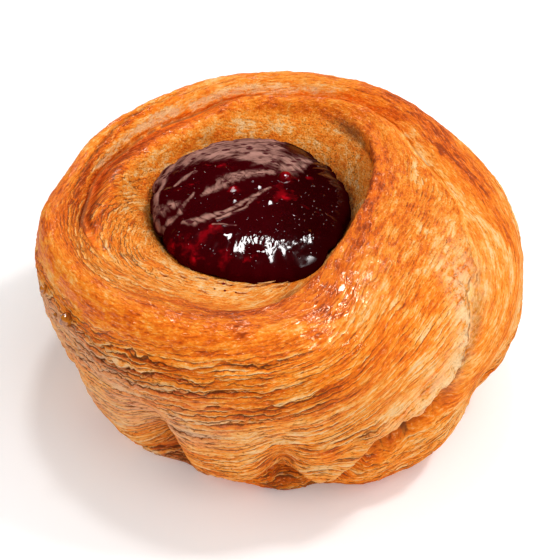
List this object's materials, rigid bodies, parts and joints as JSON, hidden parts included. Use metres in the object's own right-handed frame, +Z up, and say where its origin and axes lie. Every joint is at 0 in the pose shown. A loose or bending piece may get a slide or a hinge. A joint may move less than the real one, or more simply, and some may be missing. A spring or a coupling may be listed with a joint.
{
  "type": "danish pastry",
  "caption": "Round laminated danish pastry wound in a spiral with fluted sides and a raised rim around a bowl of glossy dark red jam.",
  "frame": {"origin": "centre of the flat foot, on the surface the pastry rests on", "axes": "+Z up through the jam, -Y towards the viewer at the front of the picture, +X to the viewer's right"},
  "size_m": [0.0987, 0.0977, 0.0469],
  "materials": {
    "crust": "golden brown baked dough with fine layer edges and a thin sugar glaze on the crest",
    "jam": "wet, glossy dark red fruit jam with a wrinkled skin"
  },
  "bodies": {
    "root": {"pastry": "crust", "jam": "jam"}
  },
  "joints": []
}
